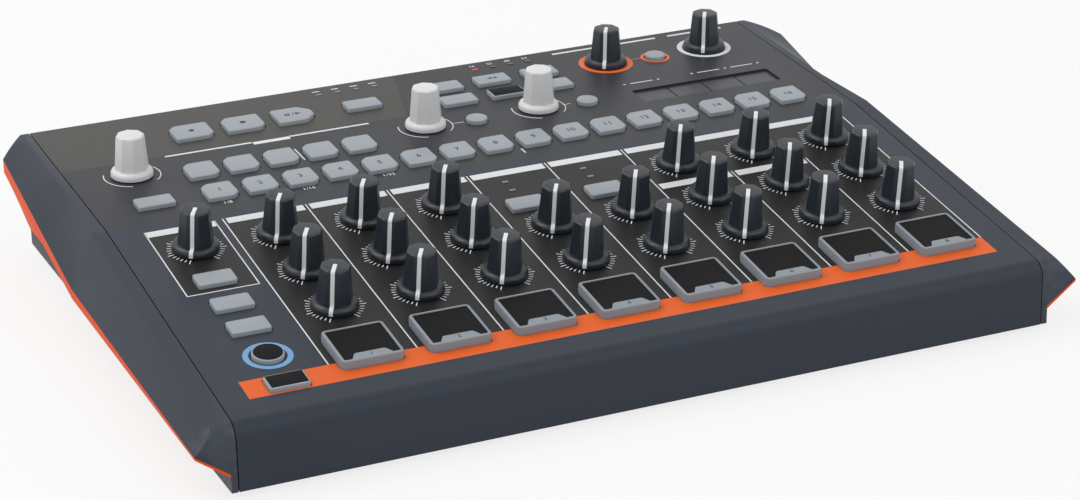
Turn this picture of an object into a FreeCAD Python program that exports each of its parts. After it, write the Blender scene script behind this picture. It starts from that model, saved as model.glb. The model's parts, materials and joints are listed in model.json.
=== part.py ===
import FreeCAD, Part
import math
import os

# A desktop analogue drum machine, in millimetres.
# +X runs to the right along the panel, +Y to the rear, +Z up.
# The origin is on the table, under the middle of the whole machine.

os.makedirs("parts", exist_ok=True)
doc = FreeCAD.newDocument("drum_machine")
V = FreeCAD.Vector

SIZES = {
    # case
    "foot_height": 2.5, "foot_radius": 7.0, "sheet": 1.5, "front_height": 24.1,
    "front_lean": 1.4, "front_tilt": 7.45, "rear_tilt": 2.41, "front_length": 144.0,
    "rear_length": 103.9, "bend_radius": 6.0, "cover_width": 318.8, "seam_gap": 0.4,
    "rear_lip": 8.0, "connector_reach": 1.2,
    # end caps
    "cap_reach": 15.1, "flange_front": 7.8, "flange_kink": 6.0, "flange_rear": 3.5,
    "flange_step": 33.0, "tip_drop_front": 8.3, "tip_drop_kink": 2.1, "tip_rise_rear": 22.3,
    "cap_wall": 2.4, "undercut_drop": 17.0, "trim_plate": 1.2, "trim_edge_front": 0.9,
    "trim_edge_kink": 3.9, "trim_edge_rear": 5.8, "corner_cut_x": 11.2, "corner_cut_y": 13.7,
    # boards and what stands on them
    "board_depth": 11.5, "board_thickness": 1.6, "board_width": 300.0, "pot_size": 13.0,
    "pot_top": 4.0, "bushing_radius": 4.2, "shaft_radius": 3.0, "shaft_clearance": 0.3,
    "shaft_depth": 9.0, "panel_clearance": 0.35, "switch_size": 6.0, "post_radius": 3.5,
    "screw_radius": 1.2, "screw_head": 2.6, "screw_clearance": 0.3, "screw_length": 7.0,
    # knobs
    "knob_gap": 0.5, "skirt_radius": 8.6, "skirt_height": 2.8, "knob_foot_radius": 6.9,
    "knob_top_radius": 5.9, "knob_height": 16.0, "encoder_radius": 8.8,
    "encoder_top_radius": 7.0,
    # pads and buttons
    "pitch": 33.27, "first_line": -116.1, "pad_width": 23.2, "pad_depth": 21.6,
    "pad_height": 3.3, "pad_root": 5.4, "pad_travel": 0.8, "pad_x": -101.2, "pad_s": 32.3,
    "button_height": 2.4, "button_root": 6.0, "button_travel": 0.5, "stop_gap": 0.3,
    "step_pitch": 16.47, "step_x": -109.4, "step_s": 16.8, "step_size": 12.8,
    "step_corner": 2.6, "bar_width": 15.3, "bar_depth": 6.4, "round_radius": 4.4,
    "column_x": -99.7, "level_s": 63.3, "middle_s": 91.8, "top_s": 120.1, "side_x": -133.7,
    "strip_left": 81.3, "strip_right": 144.6, "strip_front": 35.0, "strip_back": 48.4,
    "strip_sink": 0.9, "lens_radius": 1.2, "lens_clearance": 0.1,
    # rear sockets
    "socket_z": 19.0, "big_jack_bore": 3.25, "big_jack_body": 6.5, "big_jack_depth": 20.0,
    "small_jack_bore": 1.85, "small_jack_body": 4.2, "small_jack_depth": 13.0,
    "din_bore": 6.9, "din_body": 8.8, "din_depth": 9.0, "dc_bore": 2.9, "dc_body": 5.0,
    "dc_depth": 10.0, "socket_floor": 2.5, "usb_width": 8.6, "usb_height": 7.8,
    "usb_wall": 1.4, "usb_depth": 11.0, "slider_size": 4.0, "slider_travel": 3.4,
}

sheet = doc.addObject("Spreadsheet::Sheet", "Sizes")
for row, (name, value) in enumerate(SIZES.items(), start=1):
    sheet.set("A%d" % row, name)
    sheet.set("B%d" % row, str(value))
    sheet.setAlias("B%d" % row, name)
doc.recompute()


def size(name):
    """One driving size, read from the sheet."""
    return float(sheet.get(name))


# The two panel planes and the case outline, seen from the left end

FRONT = math.radians(size("front_tilt"))
REAR = math.radians(size("rear_tilt"))
LEAN = math.radians(size("front_lean"))
SHEET = size("sheet")
FLOOR_Z = size("foot_height")
CORNER_Z = FLOOR_Z + size("front_height") * math.cos(LEAN)
TOE = size("front_height") * math.sin(LEAN)
SPAN = size("front_length") * math.cos(FRONT) + size("rear_length") * math.cos(REAR)
CORNER_Y = -(SPAN + size("connector_reach") - TOE) / 2
KINK_Y = CORNER_Y + size("front_length") * math.cos(FRONT)
KINK_Z = CORNER_Z + size("front_length") * math.sin(FRONT)
BACK_Y = CORNER_Y + SPAN
BACK_Z = KINK_Z + size("rear_length") * math.sin(REAR)
HALF = size("cover_width") / 2
CAP_IN = HALF + size("seam_gap")


def on_front(x, s, n=0.0):
    """Placement on the front panel: s from the front corner, n above the panel."""
    y = CORNER_Y + s * math.cos(FRONT) - n * math.sin(FRONT)
    z = CORNER_Z + s * math.sin(FRONT) + n * math.cos(FRONT)
    return FreeCAD.Placement(V(x, y, z), FreeCAD.Rotation(V(1, 0, 0), size("front_tilt")))


def on_rear(x, s, n=0.0):
    """Placement on the rear panel: s from the bend between the two panels."""
    y = KINK_Y + s * math.cos(REAR) - n * math.sin(REAR)
    z = KINK_Z + s * math.sin(REAR) + n * math.cos(REAR)
    return FreeCAD.Placement(V(x, y, z), FreeCAD.Rotation(V(1, 0, 0), size("rear_tilt")))


def placed(shape, placement):
    """A copy of a shape, moved to a panel place."""
    copy = shape.copy()
    copy.Placement = placement
    return copy


def slab(width, depth, low, high):
    """A block centred on its own axis, from height low to height high."""
    return Part.makeBox(width, depth, high - low, V(-width / 2, -depth / 2, low))


def rod(radius, low, high):
    """An upright cylinder from height low to height high."""
    return Part.makeCylinder(radius, high - low, V(0, 0, low))


def outline(points, low, high):
    """A plate with a straight-sided outline, from height low to height high."""
    corners = [V(x, y, low) for x, y in points]
    face = Part.Face(Part.makePolygon(corners + corners[:1]))
    return face.extrude(V(0, 0, high - low))


def side_prism(points, left, right):
    """A side outline of (y, z) points, drawn out from x = left to x = right."""
    corners = [V(left, y, z) for y, z in points]
    face = Part.Face(Part.makePolygon(corners + corners[:1]))
    return face.extrude(V(right - left, 0, 0))


def tube(outer, inner, reach, depth, floor):
    """A socket round the +Y axis: its mouth at y = reach, its blind end behind it."""
    body = Part.makeCylinder(outer, reach + depth + floor, V(0, -depth - floor, 0), V(0, 1, 0))
    hole = Part.makeCylinder(inner, reach + depth + 1.0, V(0, -depth, 0), V(0, 1, 0))
    return body.cut(hole)


NODES = []


def node(label, shape, placement=None):
    """One hand-in piece made of a computed shape."""
    piece = doc.addObject("Part::Feature", label)
    piece.Label = label
    piece.Shape = shape
    if placement is not None:
        piece.Placement = placement
    NODES.append(piece)
    return piece


# Where everything on the panels sits

COLUMN = [size("column_x") + i * size("pitch") for i in range(8)]
POTS = [("knob_metronome", on_front, size("side_x") + 0.9, size("top_s"))]
ROW_OF = {"level": size("level_s"), "middle": size("middle_s"), "top": size("top_s")}
for column in range(8):
    for row in ("level", "middle", "top"):
        if row == "top" and column in (3, 4):
            continue
        POTS.append(("knob_%d_%s" % (column + 1, row), on_front, COLUMN[column], ROW_OF[row]))
POTS.append(("knob_distortion", on_rear, 85.1, 81.0))
POTS.append(("knob_master", on_rear, 131.8, 81.0))
ENCODERS = [("encoder_tempo", on_rear, -134.9, 46.6), ("encoder_swing", on_rear, -11.8, 46.6),
            ("encoder_random", on_rear, 38.2, 46.6)]
STEPS = [(size("step_x") + i * size("step_pitch"), size("step_s")) for i in range(16)]
MODES = [(size("step_x") + i * size("step_pitch"), 38.7) for i in range(5)]
TRANSPORT = [(-100.5, 77.2), (-78.8, 77.2), (-57.0, 77.2)]
MENU = [(-27.1, 77.4), (10.9, 81.3), (32.4, 81.3), (54.1, 81.3), (10.9, 66.0), (32.4, 66.0),
        (54.1, 66.0), (-135.4, size("step_s"))]
ROUNDS = [(9.6, 44.2), (59.1, 44.2), (107.4, 79.0)]
CHANNEL = [(size("side_x"), 95.6), (size("side_x"), 76.9), (size("side_x"), 59.6),
           (size("side_x"), 20.5), (-3.7, 109.3), (29.6, 109.3)]
SHIFT = (size("side_x"), 39.5)
PADS = [(size("pad_x") + i * size("pitch"), size("pad_s")) for i in range(8)]
LAMPS = [(on_front, x, s) for x in (-3.9, 29.4) for s in (129.0, 122.0)]
LAMPS += [(on_rear, x, 96.4) for x in (31.4, 39.5, 47.6, 55.7)]
LAMPS += [(on_rear, x, 96.0) for x in (-39.1, -30.8, -22.5, -14.3)]
GAP = size("panel_clearance")
SINK = size("button_root")
HIGH = size("button_height")


def step_outline(grow):
    """A square key with its rear left and front right corners cut off."""
    a = size("step_size") / 2 + grow
    c = size("step_corner")
    return [(-a, -a), (a - c, -a), (a, -a + c), (a, a), (-a + c, a), (-a, a - c)]


def play_outline(grow):
    """A bar key with a pointed right end."""
    a = size("bar_width") / 2 + grow
    b = size("bar_depth") / 2 + grow
    return [(-a, -b), (a - 2.2, -b), (a + 0.6, 0), (a - 2.2, b), (-a, b)]


def key_shapes(low, high, grow):
    """Every key of the machine by group, in place, from low to high, grown sideways."""
    bar = slab(size("bar_width") + 2 * grow, size("bar_depth") + 2 * grow, low, high)
    disc = rod(size("round_radius") + grow, low, high)
    step = outline(step_outline(grow), low, high)
    play = outline(play_outline(grow), low, high)
    return {
        "step_buttons": [placed(step, on_rear(x, s)) for x, s in STEPS],
        "mode_buttons": [placed(bar, on_rear(x, s)) for x, s in MODES],
        "transport_buttons": [placed(bar, on_rear(x, s)) for x, s in TRANSPORT[:2]]
        + [placed(play, on_rear(*TRANSPORT[2]))],
        "menu_buttons": [placed(bar, on_rear(x, s)) for x, s in MENU]
        + [placed(disc, on_rear(x, s)) for x, s in ROUNDS],
        "channel_buttons": [placed(bar, on_front(x, s)) for x, s in CHANNEL]
        + [placed(rod(size("round_radius") + grow, low, high), on_front(*SHIFT))],
    }


# The cover: one bent sheet with every panel opening

def inset_path(path, depth):
    """The same open path, moved in by one sheet thickness on its right-hand side."""
    lines = []
    for a, b in zip(path, path[1:]):
        length = math.hypot(b[0] - a[0], b[1] - a[1])
        dy, dz = (b[0] - a[0]) / length, (b[1] - a[1]) / length
        lines.append(((a[0] + dz * depth, a[1] - dy * depth), (dy, dz)))
    inner = [lines[0][0]]
    for (p, u), (q, v) in zip(lines, lines[1:]):
        cross = u[0] * v[1] - u[1] * v[0]
        t = ((q[0] - p[0]) * v[1] - (q[1] - p[1]) * v[0]) / cross
        inner.append((p[0] + u[0] * t, p[1] + u[1] * t))
    p, u = lines[-1]
    last = path[-1]
    reach = (last[0] - p[0]) * u[0] + (last[1] - p[1]) * u[1]
    inner.append((p[0] + u[0] * reach, p[1] + u[1] * reach))
    return inner


SHELL = [(CORNER_Y - TOE, FLOOR_Z), (CORNER_Y, CORNER_Z), (KINK_Y, KINK_Z), (BACK_Y, BACK_Z),
         (BACK_Y, BACK_Z - size("rear_lip"))]
INSIDE = inset_path(SHELL, SHEET)


def rounded(shape, y, z, radius):
    """Round the long edges that run along X through (y, z)."""
    edges = []
    for edge in shape.Edges:
        box = edge.BoundBox
        flat = box.YLength < 0.01 and box.ZLength < 0.01
        if flat and math.hypot(box.Center.y - y, box.Center.z - z) < 0.2:
            edges.append(edge)
    return shape.makeFillet(radius, edges)


cover = side_prism(SHELL + INSIDE[::-1], -HALF, HALF)
cover = rounded(cover, SHELL[1][0], SHELL[1][1], size("bend_radius"))
cover = rounded(cover, INSIDE[1][0], INSIDE[1][1], size("bend_radius") - SHEET)
holes = []
bushing_hole = rod(size("bushing_radius") + size("shaft_clearance"), -5, 5)
for label, plane, x, s in POTS + ENCODERS:
    holes.append(placed(bushing_hole, plane(x, s)))
for shapes in key_shapes(-5, 5, GAP).values():
    holes += shapes
pad_hole = slab(size("pad_width") + 2 * GAP, size("pad_depth") + 2 * GAP, -5, 5)
holes += [placed(pad_hole, on_front(x, s)) for x, s in PADS]
lamp_hole = rod(size("lens_radius") + size("lens_clearance"), -5, 5)
holes += [placed(lamp_hole, plane(x, s)) for plane, x, s in LAMPS]
strip_w = size("strip_right") - size("strip_left")
strip_d = size("strip_back") - size("strip_front")
strip_x = (size("strip_right") + size("strip_left")) / 2
strip_s = (size("strip_back") + size("strip_front")) / 2
holes.append(placed(slab(strip_w, strip_d, -5, 5), on_rear(strip_x, strip_s)))
node("top_cover", cover.cut(holes))

# The tray: floor and rear wall, with the socket openings

WALL_Y = BACK_Y - SHEET
SOCKET_Z = size("socket_z")
BIG_JACKS = [("main_out", 120.0), ("phones", 98.0)]
SMALL_JACKS = [("sync_out", 74.0), ("sync_in", 60.0), ("trigger_2", 46.0), ("trigger_1", 32.0)]
DINS = [("midi_thru", 2.0), ("midi_out", -24.0), ("midi_in", -50.0)]
USB_X = -78.0
SWITCH_X = -112.0
DC_X = -136.0
POSTS = [(on_front, x, 16.0) for x in (-146.0, 0.0, 146.0)]
POSTS += [(on_front, x, 134.0) for x in (-146.0, 0.0, 146.0)]
POSTS += [(on_rear, x, s) for x in (-146.0, 146.0) for s in (10.0, 62.0)]


def under(plane, x, s):
    """Plan position of a post that meets the underside of a board."""
    base = plane(x, s, -size("board_depth") - size("board_thickness")).Base
    return base


tray_front = CORNER_Y - TOE + SHEET / math.cos(LEAN)
tray = Part.makeBox(2 * CAP_IN, WALL_Y - tray_front, SHEET, V(-CAP_IN, tray_front, FLOOR_Z))
nose = side_prism([(tray_front - 1.0, FLOOR_Z - 1.0), (tray_front, FLOOR_Z),
                   (INSIDE[1][0], INSIDE[1][1]), (tray_front - 1.0, INSIDE[1][1])], -HALF, HALF)
tray = tray.cut(nose)
wall_top = BACK_Z - SHEET - 2 * SHEET * math.sin(REAR)
tray = tray.fuse(Part.makeBox(2 * CAP_IN, SHEET, wall_top - FLOOR_Z, V(-CAP_IN, WALL_Y - SHEET, FLOOR_Z)))
cuts = []
through = {"big": size("big_jack_body") - 1.5, "small": size("small_jack_body") - 1.0,
           "din": size("din_body") - 1.0, "dc": size("dc_body") - 1.0}


def wall_hole(radius, x):
    """A round opening through the rear wall."""
    return Part.makeCylinder(radius, 12, V(x, WALL_Y - 6, SOCKET_Z), V(0, 1, 0))


cuts += [wall_hole(through["big"], x) for name, x in BIG_JACKS]
cuts += [wall_hole(through["small"], x) for name, x in SMALL_JACKS]
cuts += [wall_hole(through["din"], x) for name, x in DINS]
cuts.append(wall_hole(through["dc"], DC_X))
usb_w = size("usb_width") + 2 * size("usb_wall")
usb_h = size("usb_height") + 2 * size("usb_wall")
cuts.append(Part.makeBox(usb_w, 12, usb_h, V(USB_X - usb_w / 2, WALL_Y - 6, SOCKET_Z - usb_h / 2)))
slot_w = size("slider_size") + size("slider_travel") + 2 * GAP
slot_h = size("slider_size") + 2 * GAP
slot_x = SWITCH_X - slot_w / 2 + size("slider_travel") / 2
cuts.append(Part.makeBox(slot_w, 12, slot_h, V(slot_x, WALL_Y - 6, SOCKET_Z - slot_h / 2)))
for plane, x, s in POSTS:
    hole_r = size("screw_radius") + size("screw_clearance")
    cuts.append(Part.makeCylinder(hole_r, 6, V(x, under(plane, x, s).y, FLOOR_Z - 2)))
node("bottom_tray", tray.cut(cuts).removeSplitter())

# The end caps and their coloured trims, drawn through four stations


def station(along):
    """Heights and reaches of the cap section at a distance behind the front corner."""
    kink = KINK_Y - CORNER_Y
    if along <= kink:
        t = along / kink
        top = CORNER_Z + along * math.tan(FRONT)
        crease = size("flange_front") * (1 - t) + size("flange_kink") * t
        tip = CORNER_Z - size("tip_drop_front") * (1 - t) - size("tip_drop_kink") * t
        edge = size("trim_edge_front") * (1 - t) + size("trim_edge_kink") * t
    else:
        t = (along - kink) / (SPAN - kink)
        top = KINK_Z + (along - kink) * math.tan(REAR)
        fade = min(1.0, (along - kink) / size("flange_step"))
        crease = size("flange_kink") * (1 - fade) + size("flange_rear") * fade
        tip = CORNER_Z - size("tip_drop_kink") * (1 - t) + size("tip_rise_rear") * t
        edge = size("trim_edge_kink") * (1 - t) + size("trim_edge_rear") * t
    return top, crease, tip, edge


def sections(along):
    """The (x, z) outlines of cap and trim at one station, for the right-hand end."""
    top, crease, tip, edge = station(along)
    wall = CAP_IN + size("cap_wall")
    low = CORNER_Z - size("undercut_drop")
    reach = HALF + size("cap_reach")
    cap = [(CAP_IN, top), (HALF + crease, top), (reach, tip), (wall, low), (wall, FLOOR_Z),
           (CAP_IN, FLOOR_Z)]
    trim = [(reach, tip), (reach, tip - edge), (wall, low - size("trim_plate")), (wall, low)]
    return cap, trim


def loft(outlines):
    """A ruled solid through sections of (x, z) points, each at its own distance."""
    wires = []
    for along, points in outlines:
        corners = [V(x, CORNER_Y + along, z) for x, z in points]
        wires.append(Part.makePolygon(corners + corners[:1]))
    return Part.makeLoft(wires, True, True)


kink_at = KINK_Y - CORNER_Y
SPANS = [(-2.0, kink_at), (kink_at, kink_at + size("flange_step")),
         (kink_at + size("flange_step"), SPAN)]
cap = None
trim = None
for start, end in SPANS:
    cap_part = loft([(start, sections(start)[0]), (end, sections(end)[0])])
    trim_part = loft([(start, sections(start)[1]), (end, sections(end)[1])])
    cap = cap_part if cap is None else cap.fuse(cap_part)
    trim = trim_part if trim is None else trim.fuse(trim_part)

silhouette = side_prism([(CORNER_Y - TOE, FLOOR_Z), (CORNER_Y, CORNER_Z), (KINK_Y, KINK_Z),
                         (BACK_Y, BACK_Z), (BACK_Y, FLOOR_Z)], -250, 250)
silhouette = rounded(silhouette, CORNER_Y, CORNER_Z, size("bend_radius"))
tip_x = HALF + size("cap_reach")
corner = outline([(tip_x - size("corner_cut_x"), BACK_Y + 0.01), (tip_x + 5, BACK_Y + 5),
                  (tip_x + 5, BACK_Y - size("corner_cut_y") - 6.12),
                  (tip_x, BACK_Y - size("corner_cut_y"))], FLOOR_Z - 5, BACK_Z + 5)
cap = cap.common(silhouette).cut(corner).removeSplitter()
trim = trim.common(silhouette).cut(corner).removeSplitter()
node("right_end_cap", cap)
node("right_trim", trim)
node("left_end_cap", cap.mirror(V(0, 0, 0), V(1, 0, 0)))
node("left_trim", trim.mirror(V(0, 0, 0), V(1, 0, 0)))

# Boards with their key switches, and the potentiometers standing on them

DECK = -size("board_depth")
KEY_SWITCH_TOP = -SINK - size("button_travel") - size("stop_gap")
PAD_SWITCH_TOP = -size("pad_root") - size("pad_travel") - size("stop_gap")
key_switch = slab(size("switch_size"), size("switch_size"), DECK, KEY_SWITCH_TOP)
pad_switch = slab(size("switch_size"), size("switch_size"), DECK, PAD_SWITCH_TOP)


def board(length):
    """A flat board of the given depth front to back, its top face at the deck height."""
    return slab(size("board_width"), length, DECK - size("board_thickness"), DECK)


front_s = (10.0, 140.0)
rear_s = (5.0, 98.0)
front = placed(board(front_s[1] - front_s[0]), on_front(0, sum(front_s) / 2))
blocks = [placed(key_switch, on_front(x, s)) for x, s in CHANNEL + [SHIFT]]
blocks += [placed(pad_switch, on_front(x, s)) for x, s in PADS]
node("front_board", front.fuse(blocks))
rear = placed(board(rear_s[1] - rear_s[0]), on_rear(0, sum(rear_s) / 2))
blocks = [placed(key_switch, on_rear(x, s)) for x, s in STEPS + MODES + TRANSPORT + MENU + ROUNDS]
node("rear_board", rear.fuse(blocks))

bore_radius = size("shaft_radius") + size("shaft_clearance")
pot = slab(size("pot_size"), size("pot_size"), DECK, -size("pot_top"))
pot = pot.fuse(rod(size("bushing_radius"), -size("pot_top") - 1, 0))
pot = pot.cut(rod(bore_radius, -size("shaft_depth") - 0.5, 1)).removeSplitter()
pots = [placed(pot, plane(x, s)) for label, plane, x, s in POTS + ENCODERS]
node("pot_bodies", Part.makeCompound(pots))

posts = []
for plane, x, s in POSTS:
    foot = under(plane, x, s)
    pillar = Part.makeCylinder(size("post_radius"), 40, V(x, foot.y, FLOOR_Z + SHEET))
    roof = placed(slab(40, 40, 0, 60), plane(x, s, DECK - size("board_thickness")))
    drill = Part.makeCylinder(size("screw_radius") + size("screw_clearance"), size("screw_length"),
                              V(x, foot.y, FLOOR_Z))
    posts.append(pillar.cut([roof, drill]))
node("board_posts", Part.makeCompound(posts))

screws = []
for plane, x, s in POSTS:
    y = under(plane, x, s).y
    head = Part.makeCylinder(size("screw_head"), 1.4, V(x, y, FLOOR_Z - 1.4))
    shank = Part.makeCylinder(size("screw_radius"), size("screw_length") - 1, V(x, y, FLOOR_Z - 0.5))
    recess = Part.makeBox(3.2, 0.8, 0.7, V(x - 1.6, y - 0.4, FLOOR_Z - 1.41))
    cross = Part.makeBox(0.8, 3.2, 0.7, V(x - 0.4, y - 1.6, FLOOR_Z - 1.41))
    screws.append(head.fuse(shank).cut([recess, cross]))
node("case_screws", Part.makeCompound(screws))

foot = Part.makeCone(size("foot_radius") - 0.8, size("foot_radius"), size("foot_height"))
feet_x = HALF - 22.0
feet_y = (CORNER_Y + 26.0, BACK_Y - 26.0)
feet = [placed(foot, FreeCAD.Placement(V(x, y, 0), FreeCAD.Rotation()))
        for x in (-feet_x, feet_x) for y in feet_y]
node("rubber_feet", Part.makeCompound(feet))

# The touch strip sunk in its opening, and the small lamps

strip = slab(strip_w, strip_d, -3.6, -size("strip_sink"))
rim = slab(strip_w + 6, strip_d + 4, -3.6, -SHEET)
strip = strip.fuse(rim)
grooves = [slab(0.6, strip_d - 2.0, -size("strip_sink") - 0.3, 1) for k in range(3)]
for k, groove in enumerate(grooves):
    groove.translate(V(strip_w * (k - 1) / 4, 0, 0))
strip = strip.cut(grooves).removeSplitter()
node("touch_strip", strip, on_rear(strip_x, strip_s))
lens = rod(size("lens_radius"), DECK, 0.4)
lenses = [placed(lens, plane(x, s)) for plane, x, s in LAMPS]
node("indicator_lenses", Part.makeCompound(lenses))

# Rear sockets, each seated on the inside of the rear wall

BACKSTOP = WALL_Y - SHEET


def socket(kind, inner, outer, depth, x):
    """A round socket: its neck fills the wall opening, its body sits behind the wall."""
    reach = size("connector_reach") + SHEET
    neck = Part.makeCylinder(through[kind], SHEET + reach, V(x, BACKSTOP, SOCKET_Z), V(0, 1, 0))
    body_y = BACKSTOP - depth - size("socket_floor") + SHEET + reach
    length = BACKSTOP - body_y
    body = Part.makeCylinder(outer, length, V(x, body_y, SOCKET_Z), V(0, 1, 0))
    mouth = BACKSTOP + SHEET + reach
    hole = Part.makeCylinder(inner, depth + 1, V(x, mouth - depth, SOCKET_Z), V(0, 1, 0))
    return neck.fuse(body).cut(hole).removeSplitter()


jacks = [socket("big", size("big_jack_bore"), size("big_jack_body"), size("big_jack_depth"), x)
         for name, x in BIG_JACKS]
jacks += [socket("small", size("small_jack_bore"), size("small_jack_body"),
                 size("small_jack_depth"), x) for name, x in SMALL_JACKS]
node("audio_jacks", Part.makeCompound(jacks))
dins = [socket("din", size("din_bore"), size("din_body"), size("din_depth"), x) for name, x in DINS]
node("midi_sockets", Part.makeCompound(dins))
node("dc_inlet", socket("dc", size("dc_bore"), size("dc_body"), size("dc_depth"), DC_X))
usb_reach = SHEET * 2 + 0.6
usb = Part.makeBox(usb_w, size("usb_depth") + usb_reach, usb_h,
                   V(USB_X - usb_w / 2, BACKSTOP - size("usb_depth"), SOCKET_Z - usb_h / 2))
usb_hole = Part.makeBox(size("usb_width"), size("usb_depth"), size("usb_height"),
                        V(USB_X - size("usb_width") / 2, BACKSTOP + usb_reach - size("usb_depth") + 1,
                          SOCKET_Z - size("usb_height") / 2))
node("usb_socket", usb.cut(usb_hole))

# Moving pieces: power slider, keys, pads and knobs

grip = Part.makeBox(size("slider_size"), SHEET + 6.0, size("slider_size"),
                    V(SWITCH_X - size("slider_size") / 2, BACKSTOP - 3.3, SOCKET_Z - size("slider_size") / 2))
back_x = size("slider_size") + 2 * size("slider_travel") + 4.0
back_plate = Part.makeBox(back_x, 2.0, size("slider_size") + 6.0,
                          V(SWITCH_X - back_x / 2, BACKSTOP - 2.3, SOCKET_Z - size("slider_size") / 2 - 3.0))
node("power_switch", grip.fuse(back_plate).removeSplitter())

for label, shapes in key_shapes(-SINK, HIGH, 0.0).items():
    softened = []
    for shape in shapes:
        normal = shape.Placement.Rotation.multVec(V(0, 0, 1))
        top = shape.Placement.multVec(V(0, 0, HIGH))
        rim_edges = [e for e in shape.Edges
                     if abs((e.BoundBox.Center - top).dot(normal)) < 0.05
                     and all(abs((v.Point - top).dot(normal)) < 0.05 for v in e.Vertexes)]
        softened.append(shape.makeFillet(0.4, rim_edges))
    node(label, Part.makeCompound(softened))


def plain_body(label):
    """An empty body whose features are driven by the sheet."""
    body = doc.addObject("PartDesign::Body", label)
    body.Label = label
    return body


def feature(body, kind, name, **links):
    """Add a primitive to a body and tie its sizes to the sheet."""
    item = body.newObject("PartDesign::" + kind, name)
    for key, formula in links.items():
        item.setExpression(key.replace("__", "."), formula)
    return item


pad = plain_body("pad_pattern")
feature(pad, "AdditiveBox", "PadBlock", Length="Sizes.pad_width", Width="Sizes.pad_depth",
        Height="Sizes.pad_height + Sizes.pad_root", Placement__Base__x="-Sizes.pad_width / 2",
        Placement__Base__y="-Sizes.pad_depth / 2", Placement__Base__z="-Sizes.pad_root")
feature(pad, "SubtractiveBox", "PadInset", Length="Sizes.pad_width - 4.4",
        Width="Sizes.pad_depth - 4.4", Height="2", Placement__Base__x="-Sizes.pad_width / 2 + 2.2",
        Placement__Base__y="-Sizes.pad_depth / 2 + 3.0",
        Placement__Base__z="Sizes.pad_height - 0.5")


def knob_pattern(label, foot_alias, top_alias, skirt_alias):
    """A knob turning on its own +Z, its shaft reaching down through the panel."""
    body = plain_body(label)
    feature(body, "AdditiveCylinder", label + "_shaft", Radius="Sizes.shaft_radius",
            Height="Sizes.shaft_depth + Sizes.knob_gap + 1",
            Placement__Base__z="-Sizes.shaft_depth")
    feature(body, "AdditiveCylinder", label + "_skirt", Radius="Sizes." + skirt_alias,
            Height="Sizes.skirt_height", Placement__Base__z="Sizes.knob_gap")
    feature(body, "AdditiveCone", label + "_grip", Radius1="Sizes." + foot_alias,
            Radius2="Sizes." + top_alias,
            Height="Sizes.knob_height - Sizes.knob_gap - Sizes.skirt_height",
            Placement__Base__z="Sizes.knob_gap + Sizes.skirt_height")
    return body


pot_knob = knob_pattern("pot_knob_pattern", "knob_foot_radius", "knob_top_radius", "skirt_radius")
soft_knob = knob_pattern("encoder_pattern", "encoder_top_radius", "encoder_top_radius",
                         "encoder_radius")
doc.recompute()


def with_soft_top(body, edge_height, radius):
    """The body's shape with its top rim rounded."""
    edges = [e for e in body.Shape.Edges
             if abs(e.BoundBox.ZMin - edge_height) < 0.01 and abs(e.BoundBox.ZMax - edge_height) < 0.01]
    return body.Shape.makeFillet(radius, edges)


pot_shape = with_soft_top(pot_knob, size("knob_height"), 1.0)
encoder_shape = with_soft_top(soft_knob, size("knob_height"), 1.2)
skirt_top = size("knob_gap") + size("skirt_height")
for label, plane, x, s in POTS:
    node(label, pot_shape, plane(x, s))
for label, plane, x, s in ENCODERS:
    node(label, encoder_shape, plane(x, s))
for number, (x, s) in enumerate(PADS, start=1):
    node("pad_%d" % number, pad.Shape.copy(), on_front(x, s))

# Check every piece and write it out

doc.recompute()
for item in doc.Objects:
    bad = [flag for flag in item.State if flag in ("Invalid", "Error")]
    if bad:
        raise RuntimeError("%s is %s" % (item.Label, bad))
for piece in NODES:
    if piece.Shape.isNull() or not piece.Shape.isValid():
        raise RuntimeError("%s has no valid shape" % piece.Label)
    piece.Shape.exportStep("parts/%s.step" % piece.Label)
    print(piece.Label, len(piece.Shape.Solids), round(piece.Shape.Volume, 1))
print("pieces", len(NODES))
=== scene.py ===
# %% [markdown]
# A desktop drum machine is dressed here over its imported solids. The frame holds every solid part in its
# true place, so this lesson only adds what a solid model leaves out: finishes, printed marks, faceted
# knobs and soft-edged keys. Knobs stand on the frame's joints, and the rest is laid out on its panel.

# %% Load the frame
import json
import math
import bpy
from mathutils import Matrix, Vector


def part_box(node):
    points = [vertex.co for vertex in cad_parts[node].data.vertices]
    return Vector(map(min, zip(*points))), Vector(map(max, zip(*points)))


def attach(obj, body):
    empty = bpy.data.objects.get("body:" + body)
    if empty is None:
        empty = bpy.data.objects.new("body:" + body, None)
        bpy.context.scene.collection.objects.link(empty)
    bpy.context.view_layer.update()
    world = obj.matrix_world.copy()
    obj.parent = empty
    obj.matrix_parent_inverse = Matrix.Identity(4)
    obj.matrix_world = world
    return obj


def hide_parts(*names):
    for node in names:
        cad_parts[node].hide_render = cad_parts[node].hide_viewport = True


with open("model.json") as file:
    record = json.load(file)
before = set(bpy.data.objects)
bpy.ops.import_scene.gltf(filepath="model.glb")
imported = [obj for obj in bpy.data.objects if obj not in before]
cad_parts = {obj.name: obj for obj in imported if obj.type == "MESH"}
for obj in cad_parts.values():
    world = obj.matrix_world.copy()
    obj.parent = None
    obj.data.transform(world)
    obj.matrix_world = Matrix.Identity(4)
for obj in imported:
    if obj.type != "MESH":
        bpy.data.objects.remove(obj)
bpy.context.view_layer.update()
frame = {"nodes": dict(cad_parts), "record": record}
JOINTS = {joint["name"]: joint for joint in frame["record"]["behaviour"]["joints"]}
MM = 0.001
print("joints in the frame:", len(JOINTS))

# %% [markdown]
# The panel is one sheet bent into two flat planes. Marks are laid out on it with two numbers: x across
# the machine and s up the slope. A knob joint on each plane gives the tilt, and that knob's known s
# gives the origin, so a printed ring stays under its knob whatever the tilt is.

# %% Panel coordinates
LEVEL_KNOB_S = 63.3
MASTER_KNOB_S = 81.0


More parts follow.
